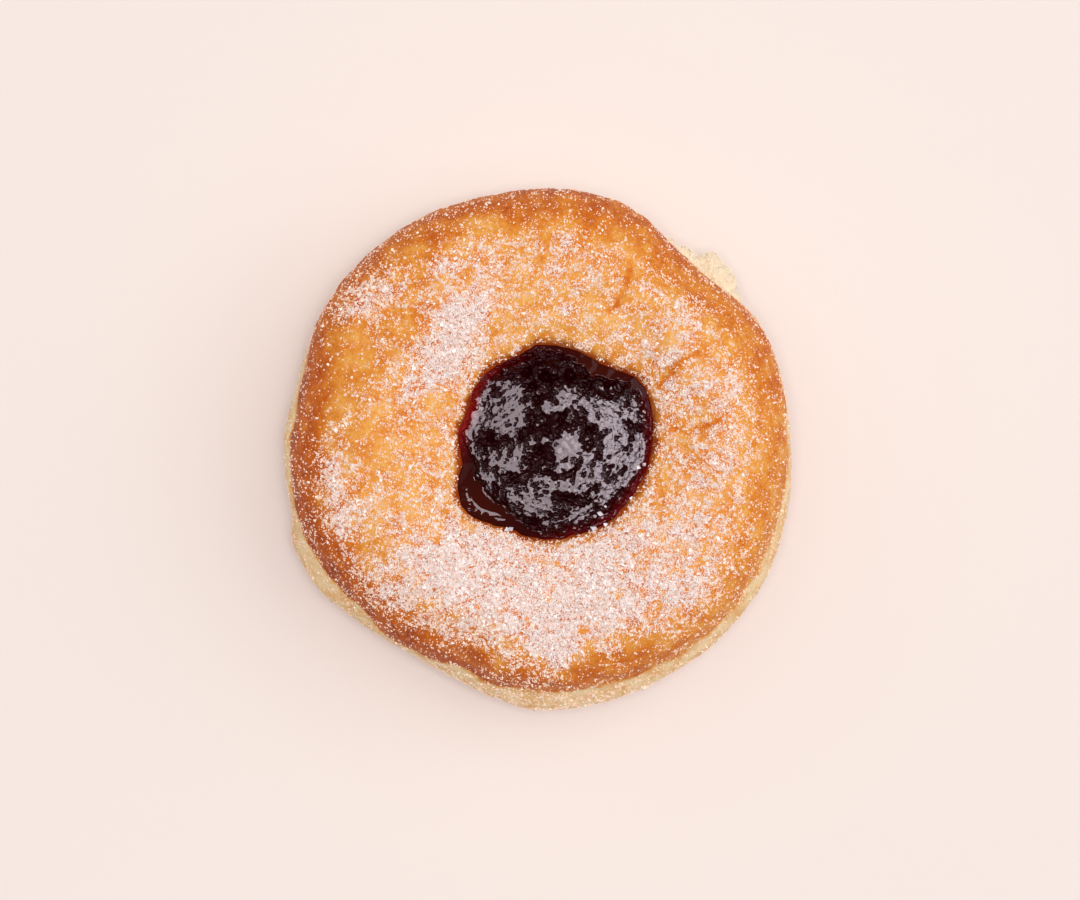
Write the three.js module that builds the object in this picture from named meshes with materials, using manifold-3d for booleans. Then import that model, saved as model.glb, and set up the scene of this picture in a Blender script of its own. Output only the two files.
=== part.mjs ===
// A jelly doughnut: a round of fried yeast dough, pressed in at the middle, with a pool of set red jelly in the hollow.
// Units are millimetres, +Z is up, and the origin is on the table under the middle of the doughnut.
// Angles are in degrees, counter-clockwise from +X as seen from above.
import * as THREE from "three";
import { mergeVertices } from "three/addons/utils/BufferGeometryUtils.js";
import Module from "manifold-3d";

// ---------------------------------------------------------------- driving dimensions

const HEIGHT = 32; // table to the top of the ring
const RIDGE_RADIUS = 31; // the highest line of the ring
const CROWN_EDGE_HEIGHT = 20.5; // where the pale band ends and the brown crown begins
const WAIST_HEIGHT = 14.5; // the widest line, in the pale band
const UNDERSIDE_EDGE_HEIGHT = 7.6; // where the pale band ends and the brown underside begins
const BASE_RADIUS = 29; // the flat that the doughnut rests on

const JELLY_CENTRE = new THREE.Vector2(3.0, 1.2);
const JELLY_EDGE_HEIGHT = 27.6; // where the dough meets the jelly's rim
const JELLY_RIM_RISE = 0.9; // the jelly's rounded edge
const JELLY_TOP = 30.2; // the middle of the jelly's mound
const WELL_FLOOR = 17;
const GAP = 0.32; // room between the jelly and the dough under it

// Hand-shaped dough is never round. Each outline is the radius at a few angles, as [angle, radius].
// It is straighter near 47 and 245 degrees, where the dough touched its neighbours in the fryer.
const WAIST_OUTLINE = [
  [10, 44.3],
  [30, 44.8],
  [47, 42.6],
  [60, 43.2],
  [75, 45.2],
  [120, 45.6],
  [150, 45.5],
  [165, 44.8],
  [176, 45.6],
  [194, 45.6],
  [205, 46.8],
  [213, 46.5],
  [221, 44.9],
  [233, 43.3],
  [245, 42.9],
  [260, 44.9],
  [268, 46.2],
  [300, 46.2],
  [328, 46.4],
  [345, 45.5],
];
// The crown rose a little to one side: it hangs over the waist from 60 to 155 degrees and stands inside it elsewhere.
const CROWN_OUTLINE = [
  [0, 43.8],
  [30, 44.5],
  [45, 42.4],
  [55, 42.7],
  [65, 44.8],
  [72, 45.9],
  [84, 46.2],
  [100, 45.7],
  [120, 46.0],
  [148, 45.4],
  [158, 44.1],
  [168, 43.4],
  [180, 44.1],
  [203, 43.9],
  [220, 42.5],
  [236, 42.0],
  [250, 41.0],
  [262, 42.4],
  [285, 43.2],
  [320, 44.0],
];
const JELLY_OUTLINE = [
  [0, 16.6],
  [15, 17.2],
  [35, 18.0],
  [58, 15.9],
  [80, 16.5],
  [101, 17.4],
  [113, 16.8],
  [137, 17.4],
  [160, 16.7],
  [175, 17.2],
  [192, 17.1],
  [204, 18.9],
  [214, 19.9],
  [225, 19.1],
  [238, 17.4],
  [262, 16.9],
  [285, 16.3],
  [302, 16.5],
  [325, 15.9],
];

// The browned underside, swollen past the band: [angle, half width in degrees, radius added].
const UNDERSIDE_BULGES = [
  [200, 6, 2.1],
  [243, 9, 1.3],
  [310, 8, 1.0],
];

// Shallow hollows in the crown, and swellings where the depth is negative: [x, y, radius, depth].
const CROWN_HOLLOWS = [
  [-33, 17, 7, 0.8],
  [14, 29, 9, 0.5],
  [29, -8, 9, 0.5],
  [-10, -30, 10, -0.5],
  [-22, 26, 8, -0.4],
  [27, 17, 9, -0.4],
];

// A torn nub of pale crumb at the waist, as lumps: [angle, distance from the middle, height, radius].
const TEAR_LUMPS = [
  [45.6, 43.1, 14.0, 3.5],
  [43.4, 44.5, 15.4, 2.2],
  [47.8, 44.9, 14.8, 1.9],
  [46.0, 42.6, 10.4, 2.9],
  [51.2, 42.3, 15.4, 2.1],
  [56.2, 42.2, 16.6, 1.3],
  [38.4, 43.3, 16.2, 1.4],
];

const DOUGH_SECTORS = 96;
const DOUGH_RINGS = 34;
const BASE_RINGS = 3;
const JELLY_SECTORS = 72;
const JELLY_UNDER_RINGS = 7;
const JELLY_TOP_RINGS = 12;

// ---------------------------------------------------------------- shape functions

const { cos, sin, exp, min, max, hypot, sqrt } = Math;
const { degToRad, euclideanModulo, smoothstep } = THREE.MathUtils;

const bell = (x, width) => exp(-((x / width) ** 2));
const turnBetween = (angle, at) => euclideanModulo(angle - at + 180, 360) - 180;

// A smooth closed outline through [angle, radius] points: the radius at any angle.
function outlineRadius(outline, angle) {
  const count = outline.length;
  const point = (i) => {
    const [at, radius] = outline[euclideanModulo(i, count)];
    return { at: at + 360 * Math.floor(i / count), radius };
  };
  const turn = euclideanModulo(angle - outline[0][0], 360) + outline[0][0];
  let i = 0;
  while (point(i + 1).at <= turn) i++;
  const [before, from, to, after] = [point(i - 1), point(i), point(i + 1), point(i + 2)];
  const span = to.at - from.at;
  const slopeFrom = ((to.radius - before.radius) / (to.at - before.at)) * span;
  const slopeTo = ((after.radius - from.radius) / (after.at - from.at)) * span;
  const t = (turn - from.at) / span;
  const s = 1 - t;
  return (
    from.radius * (1 + 2 * t) * s * s +
    slopeFrom * t * s * s +
    to.radius * (1 + 2 * s) * t * t -
    slopeTo * s * t * t
  );
}

function undersideBulge(angle) {
  return UNDERSIDE_BULGES.reduce((sum, [at, width, by]) => sum + by * bell(turnBetween(angle, at), width), 0);
}

const jellyRadius = (angle) => outlineRadius(JELLY_OUTLINE, angle);

// The unevenness of risen dough: a few tenths of a millimetre over centimetres.
function doughWaves(x, y) {
  return (
    0.24 * sin(0.21 * x + 0.13 * y + 1.1) +
    0.18 * sin(-0.17 * x + 0.27 * y + 0.4) +
    0.13 * sin(0.43 * x - 0.22 * y + 2.6) +
    0.09 * sin(0.36 * x + 0.55 * y + 5.1)
  );
}

function crownHollows(x, y) {
  return CROWN_HOLLOWS.reduce((sum, [cx, cy, radius, depth]) => sum - depth * bell(hypot(x - cx, y - cy), radius), 0);
}

// The hollow's wall and floor at an angle, as [radius, height], from the rim inwards.
function wellPoints(angle) {
  const rim = jellyRadius(angle);
  return [
    [rim, JELLY_EDGE_HEIGHT],
    [rim - 2.0, JELLY_EDGE_HEIGHT - 3.8],
    [0.7 * rim, WELL_FLOOR + 2.4],
    [0.38 * rim, WELL_FLOOR + 0.3],
    [0, WELL_FLOOR],
  ];
}

const spline = (points) => new THREE.SplineCurve(points.map(([r, z]) => new THREE.Vector2(r, z)));

// ---------------------------------------------------------------- dough

// The dough's outer profile at an angle, from the edge of the base up over the crown and down to the well's floor.
function doughProfile(angle) {
  const waist = outlineRadius(WAIST_OUTLINE, angle);
  const crown = outlineRadius(CROWN_OUTLINE, angle);
  const rim = jellyRadius(angle);
  return spline([
    [BASE_RADIUS, 0],
    [waist - 6.2, 2.3],
    [waist - 1.2 + undersideBulge(angle), UNDERSIDE_EDGE_HEIGHT],
    [waist, WAIST_HEIGHT],
    [crown, CROWN_EDGE_HEIGHT],
    [crown - 2.4, HEIGHT - 6.1],
    [crown - 7.0, HEIGHT - 1.9],
    [RIDGE_RADIUS, HEIGHT],
    [24.6, HEIGHT - 0.8],
    [rim + 2.2, HEIGHT - 2.4],
    ...wellPoints(angle),
  ]);
}

// A profile point swung to its angle. The sides turn about the origin and the well about the jelly's centre.
function placeDoughPoint(angle, { x: r, y: z }) {
  const aboveWaist = z > WAIST_HEIGHT;
  const shift = aboveWaist ? 1 - smoothstep(r, 19.8, 40.9) : 0;
  const x = r * cos(degToRad(angle)) + shift * JELLY_CENTRE.x;
  const y = r * sin(degToRad(angle)) + shift * JELLY_CENTRE.y;
  const onCrown = smoothstep(z, CROWN_EDGE_HEIGHT, HEIGHT - 4) * smoothstep(r, 21, 26);
  const onUnderside = aboveWaist ? 0 : smoothstep(z, 0.5, 3) * (1 - smoothstep(z, 4, UNDERSIDE_EDGE_HEIGHT));
  const raised = onCrown * (doughWaves(x, y) + crownHollows(x, y)) + onUnderside * doughWaves(x, y);
  const outward = new THREE.Vector2(r - RIDGE_RADIUS, z - HEIGHT / 2).normalize();
  return new THREE.Vector3(
    x + raised * outward.x * cos(degToRad(angle)),
    y + raised * outward.x * sin(degToRad(angle)),
    z + raised * outward.y,
  );
}

function doughColumn(angle) {
  const base = Array.from({ length: BASE_RINGS }, (_, i) => {
    const r = (BASE_RADIUS * i) / BASE_RINGS;
    return new THREE.Vector3(r * cos(degToRad(angle)), r * sin(degToRad(angle)), 0);
  });
  const profile = doughProfile(angle).getSpacedPoints(DOUGH_RINGS);
  return [...base, ...profile.map((p) => placeDoughPoint(angle, p))];
}

// ---------------------------------------------------------------- jelly

// How far the mound reaches at an angle. Outside it the jelly is a smooth, lower film against the dough.
function moundRadius(angle) {
  return jellyRadius(angle) - 1.2 - 3.4 * bell(turnBetween(angle, 218), 26) - 1.2 * bell(turnBetween(angle, 62), 24);
}

// Lumps of broken, set jelly on the mound.
function jellyLumps(x, y) {
  return (
    0.22 * sin(0.62 * x + 0.35 * y + 0.6) +
    0.2 * sin(-0.41 * x + 0.83 * y + 2.2) +
    0.16 * sin(1.13 * x - 0.57 * y + 4.0) +
    0.12 * sin(0.9 * x + 1.31 * y + 1.3)
  );
}

function jellyTopHeight(angle, r) {
  const edge = jellyRadius(angle) - GAP;
  const film = JELLY_EDGE_HEIGHT + GAP + JELLY_RIM_RISE * sqrt(max(0, 1 - (r / edge) ** 6));
  const onMound = 1 - smoothstep(r, moundRadius(angle) - 2.2, moundRadius(angle));
  const x = r * cos(degToRad(angle));
  const y = r * sin(degToRad(angle));
  const rise = JELLY_TOP - JELLY_EDGE_HEIGHT - GAP - JELLY_RIM_RISE - 0.0022 * r * r;
  return film + onMound * (rise + jellyLumps(x, y));
}

function jellyColumn(angle) {
  const seat = wellPoints(angle)
    .reverse()
    .map(([r, z]) => [max(0, r - GAP * min(1, r / 3)), z + GAP]);
  const edge = jellyRadius(angle) - GAP;
  const top = Array.from({ length: JELLY_TOP_RINGS }, (_, i) => {
    const r = edge * cos((0.5 * Math.PI * (i + 1)) / JELLY_TOP_RINGS);
    return new THREE.Vector2(r, jellyTopHeight(angle, r));
  });
  return [...spline(seat).getSpacedPoints(JELLY_UNDER_RINGS), ...top].map(
    ({ x: r, y: z }) =>
      new THREE.Vector3(JELLY_CENTRE.x + r * cos(degToRad(angle)), JELLY_CENTRE.y + r * sin(degToRad(angle)), z),
  );
}

// ---------------------------------------------------------------- solids

const wasm = await Module();
wasm.setup();

// A closed surface from columns of points that run from a bottom pole to a top pole, one column a sector.
function closedSurface(columnAt, sectors) {
  const columns = Array.from({ length: sectors }, (_, i) => columnAt((360 * i) / sectors));
  const last = columns[0].length - 1;
  const positions = columns.flatMap((column) => column.slice(1, last).flatMap((p) => p.toArray()));
  const poles = positions.length / 3;
  positions.push(...columns[0][0].toArray(), ...columns[0][last].toArray());
  const at = (sector, ring) => {
    if (ring === 0) return poles;
    return ring === last ? poles + 1 : (sector % sectors) * (last - 1) + ring - 1;
  };
  const index = [];
  for (let s = 0; s < sectors; s++) {
    for (let k = 0; k < last; k++) {
      if (k > 0) index.push(at(s, k), at(s + 1, k), at(s + 1, k + 1));
      if (k < last - 1) index.push(at(s, k), at(s + 1, k + 1), at(s, k + 1));
    }
  }
  return new THREE.BufferGeometry()
    .setAttribute("position", new THREE.Float32BufferAttribute(positions, 3))
    .setIndex(index);
}

function toSolid(geometry) {
  const bare = geometry.clone();
  bare.deleteAttribute("normal");
  bare.deleteAttribute("uv");
  const merged = mergeVertices(bare, 1e-3);
  return new wasm.Manifold(
    new wasm.Mesh({
      numProp: 3,
      vertProperties: new Float32Array(merged.attributes.position.array),
      triVerts: new Uint32Array(merged.index.array),
    }),
  );
}

function toGeometry(solid) {
  const { vertProperties, triVerts } = solid.getMesh();
  const geometry = new THREE.BufferGeometry()
    .setAttribute("position", new THREE.BufferAttribute(new Float32Array(vertProperties), 3))
    .setIndex(new THREE.BufferAttribute(new Uint32Array(triVerts), 1));
  geometry.computeVertexNormals();
  return geometry;
}

// One lump of the torn nub: a ball with a craggy surface.
function tearLump([angle, distance, height, radius]) {
  const ball = new THREE.IcosahedronGeometry(radius, 4);
  const position = ball.attributes.position;
  const point = new THREE.Vector3();
  for (let i = 0; i < position.count; i++) {
    point.fromBufferAttribute(position, i);
    const coarse = sin(2.1 * point.x + 1.7 * point.y + distance) * sin(1.9 * point.z + angle);
    const fine = sin(4.3 * point.x - 3.9 * point.z + angle) * sin(4.9 * point.y + height);
    point.multiplyScalar(1 + 0.13 * coarse + 0.07 * fine);
    position.setXYZ(i, point.x, point.y, point.z);
  }
  ball.translate(distance * cos(degToRad(angle)), distance * sin(degToRad(angle)), height);
  return toSolid(ball);
}

const doughSolid = TEAR_LUMPS.reduce(
  (solid, lump) => solid.add(tearLump(lump)),
  toSolid(closedSurface(doughColumn, DOUGH_SECTORS)),
);

// ---------------------------------------------------------------- the doughnut

const dough = new THREE.Mesh(
  toGeometry(doughSolid),
  new THREE.MeshStandardMaterial({ color: 0xcf7a2a, roughness: 0.6, metalness: 0 }),
);
dough.name = "dough";

const jelly = new THREE.Mesh(
  toGeometry(toSolid(closedSurface(jellyColumn, JELLY_SECTORS))),
  new THREE.MeshStandardMaterial({ color: 0x3a0710, roughness: 0.12, metalness: 0 }),
);
jelly.name = "jelly";

const doughnut = new THREE.Group();
doughnut.add(dough, jelly);

export default doughnut;
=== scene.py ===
"""The looks of a jelly doughnut: fried crust with its sugar, a torn nub of crumb, and set red jelly.

Lengths are in millimetres until a mesh is made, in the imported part's frame: +Z up, the origin on the table.
Angles are in degrees, counter-clockwise from +X as seen from above.
"""

import bmesh
import bpy
import numpy as np
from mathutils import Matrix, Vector


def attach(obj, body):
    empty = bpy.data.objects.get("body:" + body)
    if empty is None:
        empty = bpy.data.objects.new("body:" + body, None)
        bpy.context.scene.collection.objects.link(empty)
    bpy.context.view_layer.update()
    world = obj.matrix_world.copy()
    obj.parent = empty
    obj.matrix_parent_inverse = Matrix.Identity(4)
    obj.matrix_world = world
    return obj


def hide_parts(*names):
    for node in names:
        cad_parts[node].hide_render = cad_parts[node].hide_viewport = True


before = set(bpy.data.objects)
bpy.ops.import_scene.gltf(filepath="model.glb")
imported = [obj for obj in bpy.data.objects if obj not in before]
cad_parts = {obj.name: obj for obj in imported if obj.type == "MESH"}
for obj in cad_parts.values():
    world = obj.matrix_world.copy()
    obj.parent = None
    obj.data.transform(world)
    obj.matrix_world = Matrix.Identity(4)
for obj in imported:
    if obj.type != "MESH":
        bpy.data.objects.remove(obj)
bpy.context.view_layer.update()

MM = 0.001

# ---------------------------------------------------------------- the form, as in the part's source

HEIGHT = 32.0
RIDGE_RADIUS = 31.0
CROWN_EDGE_HEIGHT = 20.5
WAIST_HEIGHT = 14.5
UNDERSIDE_EDGE_HEIGHT = 7.6
BASE_RADIUS = 29.0

JELLY_CENTRE = np.array([3.0, 1.2])
JELLY_EDGE_HEIGHT = 27.6
JELLY_TOP = 30.2
WELL_FLOOR = 17.0
# Inside the first radius the dough turns about the jelly's centre, outside the second about the origin.
SHIFT_RADII = (19.8, 40.9)

# Outlines as (angle, radius).
WAIST_OUTLINE = [
    (10, 44.3), (30, 44.8), (47, 42.6), (60, 43.2), (75, 45.2), (120, 45.6), (150, 45.5), (165, 44.8),
    (176, 45.6), (194, 45.6), (205, 46.8), (213, 46.5), (221, 44.9), (233, 43.3), (245, 42.9), (260, 44.9),
    (268, 46.2), (300, 46.2), (328, 46.4), (345, 45.5),
]
CROWN_OUTLINE = [
    (0, 43.8), (30, 44.5), (45, 42.4), (55, 42.7), (65, 44.8), (72, 45.9), (84, 46.2), (100, 45.7),
    (120, 46.0), (148, 45.4), (158, 44.1), (168, 43.4), (180, 44.1), (203, 43.9), (220, 42.5), (236, 42.0),
    (250, 41.0), (262, 42.4), (285, 43.2), (320, 44.0),
]
JELLY_OUTLINE = [
    (0, 16.6), (15, 17.2), (35, 18.0), (58, 15.9), (80, 16.5), (101, 17.4), (113, 16.8), (137, 17.4),
    (160, 16.7), (175, 17.2), (192, 17.1), (204, 18.9), (214, 19.9), (225, 19.1), (238, 17.4), (262, 16.9),
    (285, 16.3), (302, 16.5), (325, 15.9),
]
# Where the underside swells past the band, as (angle, spread, how far).
UNDERSIDE_BULGES = [(200, 6, 2.1), (243, 9, 1.3), (310, 8, 1.0)]
# Hollows in the crown, and swellings below 0, as (x, y, radius, depth).
CROWN_HOLLOWS = [
    (-33, 17, 7, 0.8), (14, 29, 9, 0.5), (29, -8, 9, 0.5), (-10, -30, 10, -0.5), (-22, 26, 8, -0.4),
    (27, 17, 9, -0.4),
]
# Lumps of the torn nub, as (angle, distance, height, radius), and how craggy they are.
TEAR_LUMPS = [
    (45.6, 43.1, 14.0, 3.5), (43.4, 44.5, 15.4, 2.2), (47.8, 44.9, 14.8, 1.9), (46.0, 42.6, 10.4, 2.9),
    (51.2, 42.3, 15.4, 2.1), (56.2, 42.2, 16.6, 1.3), (38.4, 43.3, 16.2, 1.4),
]
COARSE_CRAGS, FINE_CRAGS = 0.13, 0.07


def bell(x, width):
    return np.exp(-((x / width) ** 2))


def turn_between(angle, at):
    return (angle - at + 180) % 360 - 180


def bulges(angle, listed):
    """The sum of smooth bulges at each angle, each given as (angle, spread, amount)."""
    return sum(amount * bell(turn_between(angle, at), spread) for at, spread, amount in listed)


def spots(x, y, listed):
    """The sum of smooth round spots at each place, each given as (x, y, radius, amount)."""
    return sum(amount * bell(np.hypot(x - cx, y - cy), radius) for cx, cy, radius, amount in listed)


def smoothstep(x, low, high):
    t = np.clip((x - low) / (high - low), 0, 1)
    return t * t * (3 - 2 * t)


def around(outline, angle):
    """The value of a smooth closed outline of (angle, value) points at each angle."""
    at, value = np.array(outline, float).T
    at = np.concatenate([at[-2:] - 360, at, at[:3] + 360])
    value = np.concatenate([value[-2:], value, value[:3]])
    turn = (angle - outline[0][0]) % 360 + outline[0][0]
    i = np.searchsorted(at, turn, side="right") - 1
    span = at[i + 1] - at[i]
    slope_from = (value[i + 1] - value[i - 1]) / (at[i + 1] - at[i - 1]) * span
    slope_to = (value[i + 2] - value[i]) / (at[i + 2] - at[i]) * span
    t = (turn - at[i]) / span
    s = 1 - t
    return (
        value[i] * (1 + 2 * t) * s * s
        + slope_from * t * s * s
        + value[i + 1] * (1 + 2 * s) * t * t
        - slope_to * s * t * t
    )


def catmull_rom(points, u):
    """Points of shape (columns, knots, 2) as a smooth curve, sampled at the knot numbers u."""
    last = points.shape[1] - 1
    i = np.minimum(u.astype(int), last - 1)
    t = (u - i)[None, :, None]
    before, start, end, after = (points[:, np.clip(i + k, 0, last)] for k in (-1, 0, 1, 2))
    slope_start, slope_end = (end - before) / 2, (after - start) / 2
    cubic = 2 * start - 2 * end + slope_start + slope_end
    square = -3 * start + 3 * end - 2 * slope_start - slope_end
    return ((cubic * t + square) * t + slope_start) * t + start


def dough_waves(x, y):
    return (
        0.24 * np.sin(0.21 * x + 0.13 * y + 1.1)
        + 0.18 * np.sin(-0.17 * x + 0.27 * y + 0.4)
        + 0.13 * np.sin(0.43 * x - 0.22 * y + 2.6)
        + 0.09 * np.sin(0.36 * x + 0.55 * y + 5.1)
    )


def dough_profile(angle):
    """Knots of the dough's outer profile, from the base's edge over the crown to the well's floor."""
    waist, crown, rim = (around(o, angle) for o in (WAIST_OUTLINE, CROWN_OUTLINE, JELLY_OUTLINE))
    bulge = bulges(angle, UNDERSIDE_BULGES)
    knots = [
        (BASE_RADIUS, 0),
        (waist - 6.2, 2.3),
        (waist - 1.2 + bulge, UNDERSIDE_EDGE_HEIGHT),
        (waist, WAIST_HEIGHT),
        (crown, CROWN_EDGE_HEIGHT),
        (crown - 2.4, HEIGHT - 6.1),
        (crown - 7.0, HEIGHT - 1.9),
        (RIDGE_RADIUS, HEIGHT),
        (24.6, HEIGHT - 0.8),
        (rim + 2.2, HEIGHT - 2.4),
        (rim, JELLY_EDGE_HEIGHT),
        (rim - 2.0, JELLY_EDGE_HEIGHT - 3.8),
        (0.7 * rim, WELL_FLOOR + 2.4),
        (0.38 * rim, WELL_FLOOR + 0.3),
        (0, WELL_FLOOR),
    ]
    return np.stack([np.stack(np.broadcast_arrays(r, z, angle), -1)[:, :2] for r, z in knots], 1)


def place_dough_points(angle, r, z):
    """Profile points swung to their angles: the sides about the origin, the well about the jelly's centre."""
    c, s = np.cos(np.radians(angle)), np.sin(np.radians(angle))
    above_waist = z > WAIST_HEIGHT
    shift = above_waist * (1 - smoothstep(r, *SHIFT_RADII))
    x = r * c + shift * JELLY_CENTRE[0]
    y = r * s + shift * JELLY_CENTRE[1]
    on_crown = smoothstep(z, CROWN_EDGE_HEIGHT, HEIGHT - 4) * smoothstep(r, 21, 26)
    on_underside = ~above_waist * smoothstep(z, 0.5, 3) * (1 - smoothstep(z, 4, UNDERSIDE_EDGE_HEIGHT))
    waves = dough_waves(x, y)
    raised = on_crown * (waves - spots(x, y, CROWN_HOLLOWS)) + on_underside * waves
    out, up = r - RIDGE_RADIUS, z - HEIGHT / 2
    length = np.hypot(out, up)
    out, up = raised * out / length, raised * up / length
    return np.stack([x + out * c, y + out * s, z + up], -1)


# ---------------------------------------------------------------- noise, grids and meshes


def ripple(points, wavelength, seed, waves=48):
    """Smooth random noise with about unit spread, from sines in random directions."""
    rng = np.random.default_rng(seed)
    direction = rng.normal(size=(waves, points.shape[-1]))
    direction /= np.linalg.norm(direction, axis=1, keepdims=True)
    number = 2 * np.pi / (wavelength * rng.uniform(0.7, 1.45, waves))
    phase = rng.uniform(0, 2 * np.pi, waves)
    total = np.zeros(points.shape[:-1])
    for d, k, p in zip(direction, number, phase):
        total += np.sin(points @ d * k + p)
    return total * np.sqrt(2 / waves)


def grid_normals(grid):
    """Unit normals of a grid of points whose first axis closes on itself."""
    across = np.roll(grid, -1, 0) - np.roll(grid, 1, 0)
    along = np.gradient(grid, axis=1)
    normal = np.cross(across, along)
    return normal / np.maximum(np.linalg.norm(normal, axis=-1, keepdims=True), 1e-9)


def add_object(name, points, faces, material, smooth=True):
    mesh = bpy.data.meshes.new(name)
    mesh.from_pydata((points * MM).tolist(), [], faces)
    mesh.polygons.foreach_set("use_smooth", [smooth] * len(mesh.polygons))
    mesh.materials.append(material)
    thing = bpy.data.objects.new(name, mesh)
    bpy.context.scene.collection.objects.link(thing)
    return thing


def paint(thing, name, values):
    """Keeps one number for each vertex, for the material to read."""
    layer = thing.data.attributes.new(name, "FLOAT", "POINT")
    layer.data.foreach_set("value", np.ascontiguousarray(values, np.float32).ravel())


def column_faces(columns, rings, first_pole, last_pole):
    """Faces of columns that close round, with a pole before their first ring and one after their last."""
    here = np.arange(columns)[:, None] * rings + np.arange(rings - 1)[None, :]
    beside = np.roll(here, -1, 0)
    quads = np.stack([here, beside, beside + 1, here + 1], -1).reshape(-1, 4).tolist()
    start = np.arange(columns) * rings
    start_beside = np.roll(start, -1)
    last = start + rings - 1
    last_beside = np.roll(last, -1)
    quads += [[first_pole, b, a] for a, b in zip(start.tolist(), start_beside.tolist())]
    quads += [[last_pole, a, b] for a, b in zip(last.tolist(), last_beside.tolist())]
    return quads


def distance_to_line(xy, line):
    """How far each point lies from a line of straight pieces."""
    line = np.array(line, float)
    nearest = np.full(xy.shape[:-1], np.inf)
    for start, end in zip(line[:-1], line[1:]):
        along = end - start
        t = np.clip((xy - start) @ along / (along @ along), 0, 1)
        nearest = np.minimum(nearest, np.linalg.norm(xy - start - t[..., None] * along, axis=-1))
    return nearest


# ---------------------------------------------------------------- materials


def linear(red, green, blue):
    """An sRGB colour, 0 to 255, as a shader takes it."""
    c = np.array([red, green, blue]) / 255
    return (*np.where(c <= 0.04045, c / 12.92, ((c + 0.055) / 1.055) ** 2.4), 1.0)


class Nodes:
    """A material and the few ways its nodes are added and joined."""

    def __init__(self, name):
        self.material = bpy.data.materials.new(name)
        self.material.use_nodes = True
        self.tree = self.material.node_tree
        self.shader = self.tree.nodes["Principled BSDF"]

    def add(self, kind, **settings):
        made = self.tree.nodes.new(kind)
        for name, value in settings.items():
            setattr(made, name, value)
        return made

    def put(self, value, socket):
        if isinstance(value, bpy.types.NodeSocket):
            self.tree.links.new(value, socket)
        else:
            socket.default_value = value

    def math(self, operation, a, b=0.0, c=0.0):
        made = self.add("ShaderNodeMath", operation=operation)
        for value, socket in zip((a, b, c), made.inputs):
            self.put(value, socket)
        return made.outputs[0]

    def ramp_between(self, value, low, high):
        """0 below low, 1 above high, smooth between."""
        made = self.add("ShaderNodeMapRange", interpolation_type="SMOOTHSTEP")
        self.put(value, made.inputs["Value"])
        made.inputs["From Min"].default_value = low
        made.inputs["From Max"].default_value = high
        return made.outputs["Result"]

    def noise(self, wavelength, detail=2.0, roughness=0.5):
        """Noise whose features are about this many millimetres across, 0 to 1."""
        made = self.add("ShaderNodeTexNoise")
        self.tree.links.new(self.place(), made.inputs["Vector"])
        made.inputs["Scale"].default_value = 1 / (wavelength * MM)
        made.inputs["Detail"].default_value = detail
        made.inputs["Roughness"].default_value = roughness
        return made.outputs["Fac"]

    def place(self):
        return self.add("ShaderNodeTexCoord").outputs["Object"]

    def painted(self, name):
        return self.add("ShaderNodeAttribute", attribute_name=name).outputs["Fac"]

    def colours(self, value, stops):
        made = self.add("ShaderNodeValToRGB")
        elements = made.color_ramp.elements
        while len(elements) < len(stops):
            elements.new(0.5)
        for element, (position, colour) in zip(elements, stops):
            element.position = position
            element.color = linear(*colour)
        self.put(value, made.inputs["Fac"])
        return made.outputs["Color"]

    def blend(self, factor, a, b):
        made = self.add("ShaderNodeMix", data_type="RGBA")
        sockets = {s.identifier: s for s in made.inputs}
        self.put(factor, sockets["Factor_Float"])
        self.put(a, sockets["A_Color"])
        self.put(b, sockets["B_Color"])
        return next(s for s in made.outputs if s.identifier == "Result_Color")

    def bump(self, height, strength, distance):
        made = self.add("ShaderNodeBump")
        made.inputs["Strength"].default_value = strength
        made.inputs["Distance"].default_value = distance * MM
        self.put(height, made.inputs["Height"])
        self.tree.links.new(made.outputs["Normal"], self.shader.inputs["Normal"])

    def shade(self, **inputs):
        for name, value in inputs.items():
            self.put(value, self.shader.inputs[name.replace("_", " ")])
        return self.material


CRUST_COLOURS = [
    (0.00, (253, 224, 176)),
    (0.14, (243, 195, 132)),
    (0.30, (239, 170, 80)),
    (0.46, (229, 140, 50)),
    (0.62, (211, 109, 29)),
    (0.78, (190, 84, 19)),
    (0.90, (163, 62, 13)),
    (1.00, (124, 42, 10)),
]
SOAKED_CRUST = linear(176, 72, 20)
SUGAR_DUST = linear(248, 222, 212)
CRUMB_COLOURS = [(0.0, (238, 210, 174)), (0.5, (249, 231, 204)), (1.0, (254, 243, 224))]


def crust_material():
    """Fried crust: painted with how brown and how fried it is, how soaked with jelly and how dusted.

    The brown also holds painted shade and a painted lit spot.
    """
    n = Nodes("fried_crust")
    mottle = n.math("MULTIPLY_ADD", n.noise(3.4, 3), 0.66, -0.33)
    freckle = n.math("MULTIPLY_ADD", n.noise(0.6, 2, 0.6), 0.40, -0.20)
    pores = n.math("MULTIPLY_ADD", n.noise(0.9, 4, 0.7), 0.5, -0.22)
    fine = n.math("ADD", pores, n.math("MULTIPLY", n.painted("fried"), n.math("SUBTRACT", freckle, pores)))
    brown = n.math("ADD", n.painted("brown"), n.math("ADD", mottle, fine))
    crust = n.colours(brown, CRUST_COLOURS)
    soaked = n.blend(n.painted("soaked"), crust, SOAKED_CRUST)
    grainy = n.math("ADD", n.noise(0.2, 1), n.math("MULTIPLY", n.noise(0.8, 2), 0.8))
    uneven = n.math("SUBTRACT", grainy, 0.9)
    dusted = n.ramp_between(n.math("MULTIPLY_ADD", n.painted("dust"), 0.32, uneven), 0.25, 0.37)
    colour = n.blend(dusted, soaked, SUGAR_DUST)
    roughness = n.math("MULTIPLY_ADD", dusted, 0.25, 0.48)
    n.bump(n.math("ADD", n.noise(0.3, 2), n.math("MULTIPLY", n.noise(1.1, 2), 1.5)), 0.5, 0.12)
    return n.shade(Base_Color=colour, Roughness=roughness, Specular_IOR_Level=0.12)


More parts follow.
